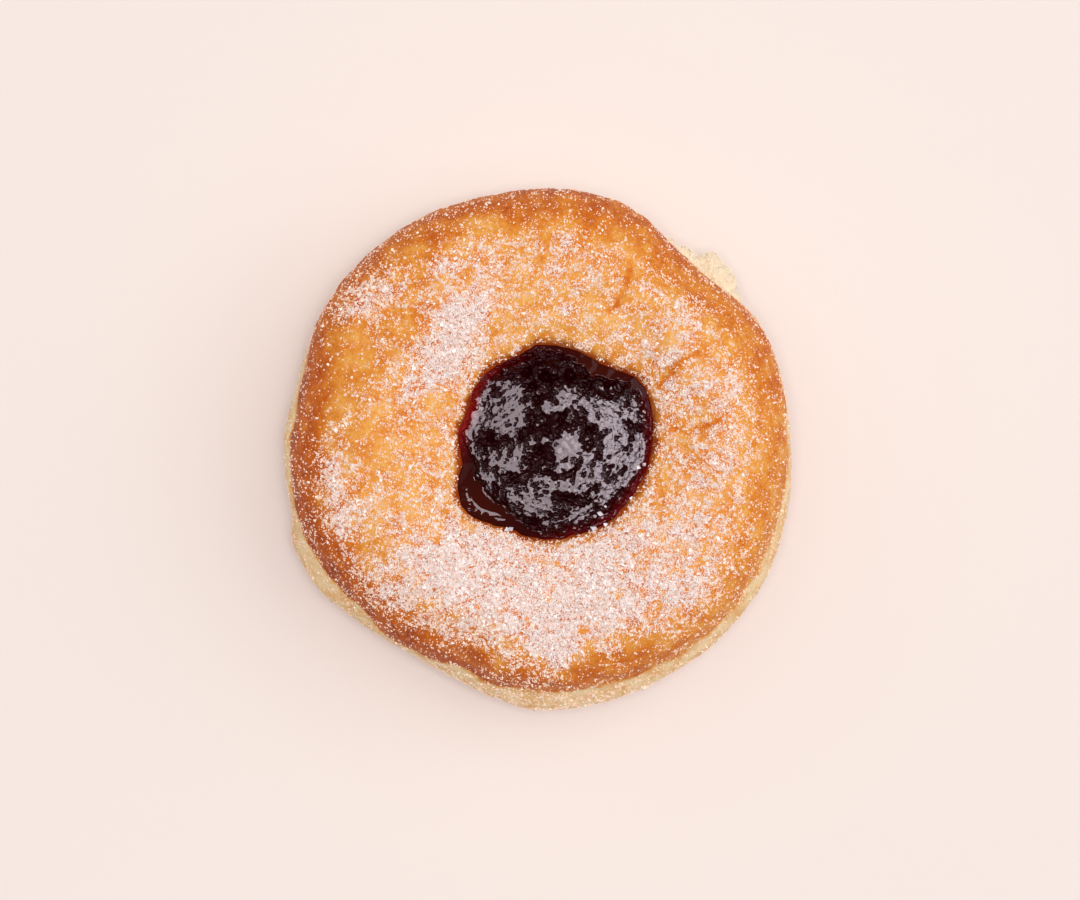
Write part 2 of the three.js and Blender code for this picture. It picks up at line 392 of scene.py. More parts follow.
def crumb_material():
    """Torn crumb: pale, dry and full of small holes."""
    n = Nodes("torn_crumb")
    colour = n.colours(n.noise(0.8, 4, 0.65), CRUMB_COLOURS)
    n.bump(n.noise(0.35, 3, 0.6), 0.8, 0.15)
    return n.shade(Base_Color=colour, Roughness=0.85, Specular_IOR_Level=0.2)


JELLY_COLOURS = [(0.0, (31, 0, 2)), (0.35, (48, 0, 3)), (0.7, (98, 4, 10)), (1.0, (142, 22, 20))]
JELLY_FILM = linear(60, 10, 0)
JELLY_SHINE = linear(255, 240, 248)


def jelly_material():
    """Set jelly: almost black where deep, red where its edge is thin, brown where a film lies on dough."""
    n = Nodes("red_jelly")
    depth = n.math("ADD", n.painted("red"), n.math("MULTIPLY_ADD", n.noise(1.6, 3), 0.4, -0.16))
    colour = n.blend(n.painted("brown"), n.colours(depth, JELLY_COLOURS), JELLY_FILM)
    roughness = n.math("MULTIPLY_ADD", n.painted("hollow"), 0.08, n.math("MULTIPLY", n.noise(2.2, 1), 0.12))
    return n.shade(Base_Color=colour, Roughness=roughness, IOR=1.303, Specular_Tint=JELLY_SHINE)


CLEAR_PARTS = 0.96  # how bright a crystal's clear parts are beside its cloudy ones


def sugar_material(name, heaped, lone, roughness):
    """Crystals, some clearer than others. Those that lie alone are tinted like the crust beneath."""
    n = Nodes(name)
    cloudy = n.noise(0.4, 2)
    rough = n.math("MULTIPLY_ADD", cloudy, 0.3, roughness - 0.15)

    def clouded(colour):
        return n.colours(cloudy, [(0.35, [CLEAR_PARTS * c for c in colour]), (0.6, colour)])

    shade = n.blend(n.painted("heaped"), clouded(lone), clouded(heaped))
    return n.shade(Base_Color=shade, Roughness=rough, Specular_IOR_Level=0.6)


# ---------------------------------------------------------------- dough

DOUGH_COLUMNS = 560
# How many rings lie between one knot of the profile and the next.
KNOT_RINGS = [14, 12, 16, 16, 16, 17, 17, 18, 18, 11, 5, 3, 2, 2]
BASE_RINGS = 4

# Grooves in the crust, where little sugar stayed: points of (x, y).
CREASES = [
    [(15.8, 32.5), (15.5, 30.8), (15.0, 28.9), (14.1, 26.8), (13.0, 24.9), (12.0, 24.0)],
    [(27.3, 16.9), (26.1, 16.0), (24.3, 15.1), (23.1, 13.9), (21.9, 12.2), (20.5, 11.0)],
    [(32.3, 6.1), (30.6, 4.9), (29.4, 4.3), (28.0, 3.8), (26.8, 3.5), (25.6, 2.8), (24.3, 3.5), (23.3, 3.7)],
]
CREASE_WIDTH = 0.5
CREASE_DEPTH = 0.35
# Painted shade: how much darker the crust is down in a crease.
CREASE_SHADE = 0.16
CREASE_BARE = 0.9  # how much of their sugar creases lack

# How dark the shoulder of the crown is, as (angle, 0 to 1): browned all round, with painted shade that makes
# the left and lower left darker than the right.
SHOULDER_BROWN_AND_SHADE = [
    (0, 0.48), (30, 0.57), (60, 0.61), (90, 0.63), (120, 0.60), (150, 0.66), (180, 0.75), (210, 0.80),
    (240, 0.76), (270, 0.64), (300, 0.51), (320, 0.43),
]
# Between which shares of the crown's radius the brown turns from the crown's to the shoulder's.
SHOULDER_SPAN = (0.80, 0.97)
CROWN_BROWN = 0.38
# Painted shade: how much darker the crust is where sugar lies thick, for the shade between its grains.
SHADE_UNDER_SUGAR = 0.2
BAND_BROWN = 0.02
EDGE_BROWN_AND_SHADE = 0.1  # how much darker the crown's lower edge is: partly browner crust above the pale band, partly painted shade along its outline
# Where the crown's browned skin reaches further down: (angle, spread, how far).
BROWN_LOWER = (105, 55, 2.8)
# Where the crown is browner or paler than the rest of it: (x, y, radius, amount). The paler spot at (-33, 19)
# is
# painted light: the lit side of the hollow there.
TONE_PATCHES_AND_LIT_SPOT = [
    (-24, 24, 9, 0.10), (-33, 19, 4, -0.06), (12, 20, 8, -0.04), (4, 36, 7, 0.06), (28, -2, 9, 0.03),
    (0, 24, 7, -0.05),
]
UNDERSIDE_BROWN = 0.7
SOAKED_REACH = 1.6  # how far from the jelly the crust is soaked with it

# The share of the crown that sugar covers, before drifts, at least and at most, and how uneven it is. Then
# the side's and the underside's share.
SUGAR_EVERYWHERE = 0.31
LEAST_COVERED = 0.03
MOST_COVERED = 0.9
PATCHINESS = 0.11
SIDE_COVER = 0.03
UNDERSIDE_COVER = 0.12
# Where the side has more: (angle, spread, share).
SIDE_DRIFT = (275, 25, 0.14)
# How far out, as a share of the crown's radius, the sugar starts to thin: (angle, share). Then by how much it
# thins in the end, and over what share of the radius.
SUGAR_THINS = [
    (0, 0.80), (60, 0.79), (90, 0.77), (120, 0.78), (141, 0.87), (160, 0.79), (180, 0.79), (215, 0.85),
    (270, 0.87), (315, 0.85),
]
THINS_BY, THINS_OVER = 0.85, 0.12
# Where sugar drifted thick, or blew away below 0: (x, y, radius, how much more of the crust it covers).
SUGAR_DRIFTS = [
    (-12.2, -24.3, 8.0, 0.45), (0.0, -27.0, 8.5, 0.5), (11.3, -26.1, 8.0, 0.45), (20.0, -24.3, 5.5, 0.3),
    (-20.0, -20.9, 5.0, 0.35), (2.6, -34.8, 4.0, 0.5), (8.7, -17.4, 6.0, 0.35), (17.4, -14.8, 5.5, 0.3),
    (26.4, -13.0, 4.0, 0.35), (27.0, -23.5, 4.5, 0.4), (-7.0, -17.4, 6.0, 0.35), (-15.3, -17.0, 4.0, 0.35),
    (-23.5, -15.7, 4.5, 0.15), (-27.0, -24.3, 4.0, 0.3), (-15.8, 17.4, 4.5, 0.65), (-13.7, 23.0, 4.0, 0.5),
    (-12.2, 26.0, 4.0, 0.25), (-18.3, 13.0, 4.0, 0.35), (-21.7, 10.4, 3.5, 0.2), (-10.4, 37.4, 3.5, 0.35),
    (-14.8, 32.7, 4.0, 0.2), (-8.7, 27.8, 3.5, 0.2), (-33.5, 25.0, 4.5, 0.45), (-28.7, 30.0, 4.5, 0.35),
    (-37.0, -3.5, 4.5, 0.35), (-34.8, -10.4, 4.0, 0.4), (26.0, 22.6, 4.0, 0.3), (25.7, 11.3, 4.5, 0.25),
    (33.0, 11.3, 4.0, 0.3), (33.9, 1.7, 4.0, 0.15), (30.4, -3.5, 4.5, 0.2), (3.5, 34.8, 6.0, 0.15),
    (-33.6, 18.3, 5.5, -0.45), (-22.6, 22.6, 3.0, -0.25), (-36.5, 11.3, 5.0, -0.35), (-28.7, 1.7, 5.0, -0.3),
    (-19.1, 8.3, 2.2, -0.35), (-12.2, -36.5, 3.5, -0.7), (-20.9, -35.7, 4.0, -0.5), (8.7, -38.6, 4.0, -0.7),
    (17.4, -35.7, 4.0, -0.5), (-2.6, -38.0, 3.0, -0.3), (20.0, 35.7, 5.0, -0.2), (10.4, 40.9, 4.0, -0.3),
    (-7.0, 40.9, 5.0, -0.2), (38.0, -5.0, 5.0, -0.25), (7.1, -31.3, 0.9, -1.0), (31.0, 15.0, 6.0, -0.14),
    (16.0, 30.0, 7.0, -0.08), (-1.0, 35.0, 7.0, -0.08), (20.0, 16.0, 5.0, 0.08), (-24.0, 2.0, 5.0, 0.08),
]


def dough_grid():
    """Smooth points of the dough's surface, as columns of rings, and the angle of each."""
    angle = np.arange(DOUGH_COLUMNS) * 360 / DOUGH_COLUMNS
    knots = np.concatenate([k + np.arange(count) / count for k, count in enumerate(KNOT_RINGS)])
    profile = catmull_rom(dough_profile(angle), knots)
    base = np.linspace(0, BASE_RADIUS, BASE_RINGS + 1)[1:-1]
    base = np.broadcast_to(np.stack([base, 0 * base], -1), (DOUGH_COLUMNS, len(base), 2))
    profile = np.concatenate([base, profile], 1)
    angle = np.broadcast_to(angle[:, None], profile.shape[:2])
    return place_dough_points(angle, profile[..., 0], profile[..., 1]), angle


def from_jelly(grid):
    """How far outside the jelly's outline each point lies."""
    x, y = grid[..., 0] - JELLY_CENTRE[0], grid[..., 1] - JELLY_CENTRE[1]
    return np.hypot(x, y) - around(JELLY_OUTLINE, np.degrees(np.arctan2(y, x)))


def crease_depth(grid):
    """1 along the middle of a crease, 0 away from it, on the crown only."""
    xy = grid[..., :2] + 0.12 * np.stack([ripple(grid[..., :2], 1.1, 5), ripple(grid[..., :2], 1.1, 6)], -1)
    deepest = np.zeros(grid.shape[:2])
    for line in CREASES:
        deepest = np.maximum(deepest, bell(distance_to_line(xy, line), CREASE_WIDTH))
    return deepest * (grid[..., 2] > CROWN_EDGE_HEIGHT)


def fried_share(grid, angle):
    """0 on the pale band, 1 on the browned crown and underside, with uneven edges."""
    z = grid[..., 2] + 0.45 * ripple(grid, 7, 11) + 0.18 * ripple(grid, 1.6, 12)
    lower = bulges(angle, [BROWN_LOWER])
    crown = smoothstep(z + lower, CROWN_EDGE_HEIGHT - 0.9, CROWN_EDGE_HEIGHT + 0.9)
    return np.maximum(crown, 1 - smoothstep(z, UNDERSIDE_EDGE_HEIGHT, UNDERSIDE_EDGE_HEIGHT + 2.2))


def crust_relief(grid, fried, creases):
    """How far the fine relief stands out: the crust's skin and blisters, and the band's small folds."""
    skin = 0.06 * ripple(grid, 6.5, 21) + 0.035 * ripple(grid, 2.4, 22) + 0.02 * ripple(grid, 1.1, 23)
    blisters = 0.14 * smoothstep(ripple(grid, 3.4, 24), 1.4, 2.6)
    folds = 0.05 * ripple(grid * [1, 1, 0.35], 1.5, 25) + 0.03 * ripple(grid, 0.9, 26)
    in_well = smoothstep(-from_jelly(grid), 0.2, 1.0) * (grid[..., 2] > WELL_FLOOR - 1)
    relief = fried * (skin + blisters) + (1 - fried) * folds - CREASE_DEPTH * creases
    return relief * smoothstep(grid[..., 2], 0.0, 0.8) * (1 - in_well)


def browning_and_painted_light(grid, angle, fried, creases, cover):
    """How brown the crust is, 0 to 1, with painted light in it.

    Painted shade darkens the shoulder's left side, the creases, the crust under heaped sugar and the crown's
    lower edge;
    a paler painted-light spot lies in the hollow on the left of the crown.
    """
    x, y, z = np.moveaxis(grid, -1, 0)
    reach = np.hypot(x, y) / around(CROWN_OUTLINE, angle)
    shoulder = smoothstep(reach + 0.02 * ripple(grid, 9, 31), *SHOULDER_SPAN)
    crown = CROWN_BROWN + spots(x, y, TONE_PATCHES_AND_LIT_SPOT)
    crown = crown + shoulder * (around(SHOULDER_BROWN_AND_SHADE, angle) - crown) + CREASE_SHADE * creases
    crown = crown + SHADE_UNDER_SUGAR * smoothstep(cover, 0.45, 0.9)
    crown = crown + EDGE_BROWN_AND_SHADE * (1 - smoothstep(z, CROWN_EDGE_HEIGHT - 1, CROWN_EDGE_HEIGHT + 2))
    under = UNDERSIDE_BROWN + 0.12 * smoothstep(np.hypot(x, y), 30, 42) + 0.06 * ripple(grid, 8, 32)
    return BAND_BROWN + fried * (np.where(z > WAIST_HEIGHT, crown, under) - BAND_BROWN)


def sugar_cover(grid, angle, creases):
    """The share of the surface that sugar covers."""
    x, y, z = np.moveaxis(grid, -1, 0)
    cover = SUGAR_EVERYWHERE + spots(x, y, SUGAR_DRIFTS)
    reach = np.hypot(x, y) / around(CROWN_OUTLINE, angle)
    cover = cover + PATCHINESS * (ripple(grid, 3.2, 43) + 0.7 * ripple(grid, 1.4, 44))
    thins = around(SUGAR_THINS, angle)
    cover = cover * (1 - THINS_BY * smoothstep(reach, thins, thins + THINS_OVER))
    cover = np.clip(cover, LEAST_COVERED, MOST_COVERED) * smoothstep(from_jelly(grid), 0.1, 1.2)
    cover = cover * (1 - CREASE_BARE * smoothstep(creases, 0.2, 0.6))
    side = SIDE_COVER + 0.02 * ripple(grid, 4, 41) + bulges(angle, [SIDE_DRIFT])
    # None lies under the flat base, where it would stick out below the table.
    underside = (UNDERSIDE_COVER + 0.08 * ripple(grid, 6, 42)) * smoothstep(z, 0.4, 1.2)
    below = np.where(z > UNDERSIDE_EDGE_HEIGHT, side, underside)
    return np.clip(np.where(z > CROWN_EDGE_HEIGHT - 1, cover, below), 0, 1)


def make_dough():
    grid, angle = dough_grid()
    fried = fried_share(grid, angle)
    creases = crease_depth(grid)
    cover = sugar_cover(grid, angle, creases)
    grid = grid + grid_normals(grid) * crust_relief(grid, fried, creases)[..., None]
    brown = browning_and_painted_light(grid, angle, fried, creases, cover)
    soaked = 1 - smoothstep(from_jelly(grid) + 0.3 * ripple(grid, 3, 51), 0.0, SOAKED_REACH)
    soaked = soaked * (grid[..., 2] > WAIST_HEIGHT)
    columns, rings = grid.shape[:2]
    points = np.concatenate([grid.reshape(-1, 3), [[0, 0, 0]], [[*JELLY_CENTRE, WELL_FLOOR]]])
    faces = column_faces(columns, rings, columns * rings, columns * rings + 1)
    dough = add_object("fried_dough", points, faces, crust_material())
    # The brown painted here holds painted shade and a painted lit spot as well as the crust's own brown.
    for name, values in (("brown", brown), ("fried", fried), ("soaked", soaked), ("dust", cover)):
        poles = values[:, [0, -1]].mean(0)
        paint(dough, name, np.concatenate([values.ravel(), poles]))
    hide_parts("dough")
    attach(dough, "root")
    return grid, cover


# ---------------------------------------------------------------- torn nub

CRUMB_VOXEL = 0.18
# Small crumbs beside the nub, as (angle, distance, height, radius).
CRUMBS_BESIDE = [
    (59.2, 43.1, 16.2, 0.9), (58.1, 43.1, 15.9, 0.8), (55.9, 42.9, 15.8, 1.1), (54.0, 43.3, 15.6, 1.3),
    (60.9, 43.0, 16.6, 0.6), (41.2, 44.0, 15.6, 1.6), (38.2, 44.0, 15.8, 0.9), (36.9, 44.0, 16.2, 0.6),
]


def make_torn_crumb():
    """The lumps of the nub and the crumbs beside it as one craggy mesh."""
    shape = bmesh.new()
    for angle, distance, height, radius in TEAR_LUMPS + CRUMBS_BESIDE:
        turn = np.radians(angle)
        centre = np.array([distance * np.cos(turn), distance * np.sin(turn), height])
        made = bmesh.ops.create_icosphere(shape, subdivisions=4, radius=radius)
        for vertex in made["verts"]:
            point = np.array(vertex.co)
            coarse = np.sin(2.1 * point[0] + 1.7 * point[1] + distance) * np.sin(1.9 * point[2] + angle)
            fine = np.sin(4.3 * point[0] - 3.9 * point[2] + angle) * np.sin(4.9 * point[1] + height)
            vertex.co = (centre + point * (1 + COARSE_CRAGS * coarse + FINE_CRAGS * fine)) * MM
    mesh = bpy.data.meshes.new("torn_lumps")
    shape.to_mesh(mesh)
    shape.free()
    lumps = bpy.data.objects.new("torn_lumps", mesh)
    bpy.context.scene.collection.objects.link(lumps)
    remesh = lumps.modifiers.new("join", "REMESH")
    remesh.mode = "VOXEL"
    remesh.voxel_size = CRUMB_VOXEL * MM
    whole = bpy.data.meshes.new_from_object(lumps.evaluated_get(bpy.context.evaluated_depsgraph_get()))
    bpy.data.objects.remove(lumps)

    count = len(whole.vertices)
    points, normals = np.empty(count * 3), np.empty(count * 3)
    whole.vertices.foreach_get("co", points)
    whole.vertices.foreach_get("normal", normals)
    points, normals = points.reshape(-1, 3) / MM, normals.reshape(-1, 3)
    holes = smoothstep(ripple(points, 0.8, 61), 0.9, 1.8)
    crags = 0.14 * ripple(points, 1.7, 62) + 0.07 * ripple(points, 0.6, 63) - 0.3 * holes
    points = points + normals * crags[:, None]
    faces = [list(polygon.vertices) for polygon in whole.polygons]
    crumb = add_object("torn_crumb", points, faces, crumb_material())
    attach(crumb, "root")
    return points, normals


# ---------------------------------------------------------------- jelly

JELLY_CELLS = 296  # the jelly's top is this many faces across
RIM_CROWDING = 0.4  # how much closer together they lie towards the rim
JELLY_SKIRT = 3.2  # how far its edge runs down behind the dough
SKIRT_TAPER = 0.93
MOUND_INSET = 0.4  # how far inside the jelly's edge the foot of its mound lies
MOUND_FLANK = 0.9
EDGE_NOTCHES = 0.13
USUAL_EDGE = 17  # about how far the jelly's edge lies from its centre, for drawing its notches
# Where the mound stands further back and a film of jelly lies on the dough: (angle, spread, how far back).
FILMS = [(218, 26, 4.3), (62, 24, 2.0)]
FILM_SLOPE = 0.15
LIP = 0.35  # how high the film's rounded edge stands
LIP_WIDTH = 0.35
LIP_SHARPNESS = 24
FILM_RISE_WIDTH = 4.2  # how wide the film's rise behind its lip is
MOUND_SAG = 0.0018  # how much lower the mound is away from its middle, by the square of the distance
LIP_BEADS = 0.006
# Where the lip is most uneven: (angle, spread, how much more).
ROUGH_LIP = (222, 14, 8.0)
# Where the film has a level strip that shines: (angle, spread), and how far in it starts and how wide it is.
LEVEL_STRIP = (222, 15)
STRIP_START, STRIP_WIDTH = 1.2, 1.1
# Where the mound's flank is wider, or narrower below 0: (angle, spread, how much).
WIDE_FLANKS = [(75, 45, 3.9), (305, 22, 1.8), (352, 16, -0.5), (160, 20, -0.5)]
# A shallow groove beside the rim, which leans the rim inward there: (angle, spread, depth), and how far in it
# starts, is deepest and ends.
RIM_GROOVE = (160, 24, 0.15)
GROOVE_PLACE = (0.6, 2.4, 12.0)
# How red the jelly's thin edge shines, as (angle, share).
EDGE_REDNESS = [
    (0, 0.6), (45, 0.35), (90, 0.3), (130, 0.6), (165, 1.0), (195, 0.4), (230, 0.2), (270, 0.45),
    (310, 0.55),
]

# The set jelly has broken into small shards, each the ground nearest to one of many points strewn over it.
# Some lie level and shine, the others are hollows.
SHARDS = 6500
SHARD_REACH = 19.0  # how far from the jelly's centre they are strewn
SHARD_STRETCH = 0.8  # the lower this is, the more shards are drawn out around the centre
ROUND_MIDDLE = 36  # the square of the distance within which they stay round
SHARD_BEND = 0.12
# How readily shards lie level, which they do from 0.5 up: anywhere, more in a level patch, less in a dark
# one, and how much this varies smoothly and from shard to shard.
LEVEL_SHARE = 0.25
LEVEL_PATCH_SHARE = 0.88
DARK_PATCH_SHARE = 0.34
SHARE_RIPPLE = 0.18
SHARE_SCATTER = 0.25
LEVEL_TILT = 0.02
HOLLOW_SLOPE = 1.2
STEP_WIDTH = 0.25  # how wide the torn step down from a level shard's edge is
# Hollows also deepen away from the middle of the nearest level shard, at a share of that slope: the share,
# how far from the middle this starts and over what distance it goes on.
DEEPENS_BY, DEEPENS_FROM, DEEPENS_OVER = 0.7, 0.5, 0.8
FLOOR_HILLS = 0.45
WRINKLES = 0.006
# Where shards lie level together, from the jelly's centre: (x, y, half width, half height, turn, share).
LEVEL_PATCHES = [
    (8.6, 4.6, 3.5, 2.8, 0, 0.8), (10.2, -0.8, 2.3, 3.9, 0, 0.8), (14.3, -0.3, 1.4, 1.7, 0, 1.0),
    (13.8, -3.3, 1.9, 2.3, 10, 0.9), (11.5, -6.6, 1.5, 1.0, 20, 1.0), (1.8, -1.2, 2.3, 2.9, -10, 0.7),
    (2.5, 7.9, 2.7, 2.3, 0, 0.75), (-1.2, 6.3, 1.8, 1.0, -20, 0.9), (-8.2, 9.0, 2.2, 3.0, 15, 0.65),
    (-9.2, 4.4, 4.0, 3.3, 0, 0.7), (-13.7, 5.3, 1.3, 5.0, -16, 1.0), (-14.2, -3.1, 0.9, 2.7, 8, 0.9),
    (-12.2, -6.6, 0.7, 1.9, 25, 0.8), (-3.7, -10.6, 2.7, 2.1, -30, 0.8), (-2.0, -6.9, 2.1, 1.4, -30, 0.9),
    (3.3, -7.3, 2.9, 1.6, 10, 0.8), (8.8, -8.4, 2.8, 1.3, 40, 0.9), (4.1, -12.5, 2.4, 1.2, 10, 0.9),
    (-7.8, -9.3, 1.1, 1.5, 30, 0.8), (-7.2, -2.8, 1.1, 2.2, -10, 0.8), (13.2, 6.0, 0.9, 2.3, 0, 0.9),
    (5.6, -3.8, 1.5, 1.5, 0, 0.7), (6.6, 7.0, 1.7, 1.1, 20, 0.6), (-10.8, -3.6, 1.8, 2.5, 0, 0.45),
    (7.0, -5.5, 2.3, 1.3, 0, 0.5), (-5.6, -8.0, 1.7, 1.3, 0, 0.5), (0.5, -4.6, 1.5, 1.0, 0, 0.5),
]
# Where few do: the same, without the share.
DARK_PATCHES = [
    (-2.4, 3.2, 4.0, 2.1, 12), (-2.8, -3.4, 2.4, 2.4, 0), (3.4, -10.0, 2.8, 0.9, 0),
    (-7.0, -6.8, 1.7, 1.2, 20), (5.7, 2.0, 0.9, 1.6, 0), (-12.0, 1.0, 1.4, 1.4, 0),
    (0.0, 14.0, 12.0, 4.6, 0), (-10.0, -12.0, 4.0, 1.2, -35),
]


def in_ellipse(xy, x, y, half_width, half_height, turn):
    """1 at the middle of a turned ellipse, 0 at its edge, below 0 outside."""
    c, s = np.cos(np.radians(turn)), np.sin(np.radians(turn))
    dx, dy = xy[..., 0] - x, xy[..., 1] - y
    return 1 - np.hypot((dx * c + dy * s) / half_width, (dy * c - dx * s) / half_height)


def patch_share(xy):
    """How readily shards lie level at points from the jelly's centre."""
    level = [share * smoothstep(in_ellipse(xy, *place), -0.3, 0.3) for *place, share in LEVEL_PATCHES]
    dark = [smoothstep(in_ellipse(xy, *place), -0.2, 0.3) for place in DARK_PATCHES]
    return LEVEL_SHARE + LEVEL_PATCH_SHARE * np.max(level, 0) - DARK_PATCH_SHARE * np.max(dark, 0)


def drawn_out(xy):
    """Points moved to a space in which shards that are long around the jelly's centre are round."""
    far = np.sqrt((xy**2).sum(-1) + ROUND_MIDDLE)
    return np.concatenate([far[..., None], SHARD_STRETCH * xy], -1)


def nearest(points, middles):
    """How far each point is from the nearest of the middles, and the number of that one."""
    number = np.empty(points.shape[:-1], int)
    for row, line in enumerate(points):
        number[row] = ((middles**2).sum(-1) - 2 * line @ middles.T).argmin(1)
    return np.linalg.norm(points - middles[number], axis=-1), number


def shards(xy, inside_mound):
    """The relief of the broken jelly at points from its centre, and how hollow it is, 0 on level shards.

    Also the middle of the level shard nearest to each point, and 1 where the point is on it.
    """
    rng = np.random.default_rng(83)
    far = SHARD_REACH * np.sqrt(rng.uniform(size=SHARDS))
    turn = rng.uniform(0, 2 * np.pi, SHARDS)
    middles = np.stack([far * np.cos(turn), far * np.sin(turn)], -1)
    ready = patch_share(middles) + SHARE_RIPPLE * ripple(middles, 2.4, 84)
    level = ready + SHARE_SCATTER * rng.normal(size=SHARDS) > 0.5
    tilt = LEVEL_TILT * rng.normal(size=(SHARDS, 2))
    bent = xy + SHARD_BEND * np.stack([ripple(xy, 0.9, 75), ripple(xy, 0.9, 76)], -1)
    to_level, number = nearest(drawn_out(bent), drawn_out(middles[level]))
    to_hollow, _ = nearest(drawn_out(bent), drawn_out(middles[~level]))
    outside = (to_level - to_hollow) / 2
    lean = ((xy - middles[level][number]) * tilt[level][number]).sum(-1)
    beyond = np.clip(to_level - DEEPENS_FROM, 0, DEEPENS_OVER)
    depth = np.clip(outside, 0, STEP_WIDTH) + DEEPENS_BY * beyond
    floor = smoothstep(to_level, 0.6, 1.5) * smoothstep(inside_mound, 0.6, 2.6)
    hills = FLOOR_HILLS * ripple(xy, 3.0, 86)
    relief = WRINKLES * ripple(xy, 1.2, 85) + lean - HOLLOW_SLOPE * depth + floor * hills
    on_mound = smoothstep(inside_mound, -0.2, 0.6)
    hollow = smoothstep(outside, 0.0, 0.25)
    return relief * on_mound, hollow * on_mound, middles[level][number], (1 - hollow) * on_mound


def jelly_edge(angle):
    """How far the jelly's uneven edge lies from its centre."""
    rim = USUAL_EDGE * np.stack([np.cos(np.radians(angle)), np.sin(np.radians(angle))], -1)
    return around(JELLY_OUTLINE, angle) + EDGE_NOTCHES * ripple(rim, 2.6, 88)


def polar(xy):
    return np.degrees(np.arctan2(xy[..., 1], xy[..., 0])), np.hypot(xy[..., 0], xy[..., 1])


def mound_reach(xy):
    """How far from the jelly's centre the foot of its mound lies, in the direction of each point."""
    angle, _ = polar(xy)
    foot = jelly_edge(angle) - MOUND_INSET - bulges(angle, FILMS)
    return foot + 0.2 * ripple(xy, 2.2, 71) + 0.08 * ripple(xy, 0.8, 72)


def mound_share(xy):
    """1 on the mound's top, 0 outside its foot."""
    angle, r = polar(xy)
    flank = MOUND_FLANK + bulges(angle, WIDE_FLANKS)
    mound = mound_reach(xy)
    return 1 - smoothstep(r, mound - flank, mound)


def film_height(xy):
    """The height of the jelly where no mound stands on it: a rounded edge and a gentle rise inward."""
    angle, r = polar(xy)
    edge = jelly_edge(angle)
    beads = LIP_BEADS * (1 + bulges(angle, [ROUGH_LIP])) * (1 - smoothstep(edge - r, 0.8, 2.2))
    lip = LIP * np.sqrt(np.clip(1 - (r / edge) ** LIP_SHARPNESS, 0, 1)) + beads * ripple(xy, 1.3, 89)
    at, spread = LEVEL_STRIP
    strip = bell(turn_between(angle, at), spread) * np.clip(edge - r - STRIP_START, 0, STRIP_WIDTH)
    rise = np.clip(edge - r - LIP_WIDTH, 0, FILM_RISE_WIDTH)
    return JELLY_EDGE_HEIGHT + lip + FILM_SLOPE * (rise - strip)


def jelly_surface(xy):
    """The jelly's height at points from its centre, and how red, how brown and how hollow it is there."""
    angle, r = polar(xy)
    edge = jelly_edge(angle)
    mound = mound_reach(xy)
    relief, hollow, middle, settled = shards(xy, mound - r)
    # On the mound's flank a level shard lies at the height of its middle, like a step.
    share = (1 - settled) * mound_share(xy) + settled * mound_share(middle)
    film = (1 - settled) * film_height(xy) + settled * film_height(middle)
    height = film + share * (JELLY_TOP - MOUND_SAG * r * r - film) + relief
    height = height - bulges(angle, [RIM_GROOVE]) * np.interp(edge - r, GROOVE_PLACE, (0, 1, 0))
    red = around(EDGE_REDNESS, angle) * (1 - smoothstep(edge - r, 0.3, 3.4))
    in_film = sum(bell(turn_between(angle, at), spread) for at, spread, _ in FILMS)
    brown = smoothstep(r, mound - 0.5, mound) * np.clip(in_film, 0, 1)
    return height, red, brown, hollow


def make_jelly():
    """A disc of faces drawn out to the jelly's outline, with a skirt that runs down behind the dough."""
    side = np.linspace(-1, 1, JELLY_CELLS + 1)
    a, b = np.meshgrid(side, side, indexing="ij")
    wide = np.abs(a) > np.abs(b)
    r = np.where(wide, np.abs(a), np.abs(b))
    safe_a, safe_b = np.where(a == 0, 1, a), np.where(b == 0, 1, b)
    sideways = np.pi / 4 * b / safe_a + np.pi * (a < 0)
    lengthways = np.pi / 2 - np.pi / 4 * a / safe_b + np.pi * (b < 0)
    angle = np.where(wide, sideways, lengthways)
    r = (1 - RIM_CROWDING) * r + RIM_CROWDING * np.sin(r * np.pi / 2)
    reach = jelly_edge(np.degrees(angle)) * r
    x, y = reach * np.cos(angle), reach * np.sin(angle)
    height, red, brown, hollow = jelly_surface(np.stack([x, y], -1))
    count = JELLY_CELLS + 1
    top = np.stack([x + JELLY_CENTRE[0], y + JELLY_CENTRE[1], height], -1).reshape(-1, 3)
    number = np.arange(count * count).reshape(count, count)
    faces = np.stack([number[:-1, :-1], number[1:, :-1], number[1:, 1:], number[:-1, 1:]], -1)
    faces = faces.reshape(-1, 4).tolist()
    border = np.concatenate([number[:-1, 0], number[-1, :-1], number[:0:-1, -1], number[0, :0:-1]])
    centre = np.array([*JELLY_CENTRE, 0])
    lower = centre + (top[border] - centre) * [SKIRT_TAPER, SKIRT_TAPER, 1] - [0, 0, JELLY_SKIRT]
    first = len(top)
    skirt = first + np.arange(len(border))
    for k in range(len(border)):
        following = (k + 1) % len(border)
        faces.append([int(border[k]), int(skirt[k]), int(skirt[following]), int(border[following])])
    faces.append(skirt[::-1].tolist())
    jelly = add_object("set_jelly", np.concatenate([top, lower]), faces, jelly_material())
    paint(jelly, "red", np.concatenate([red.ravel(), np.ones(len(border))]))
    for name, values in (("brown", brown), ("hollow", hollow)):
        paint(jelly, name, np.concatenate([values.ravel(), np.zeros(len(border))]))
    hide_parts("jelly")
    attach(jelly, "root")


# ---------------------------------------------------------------- sugar

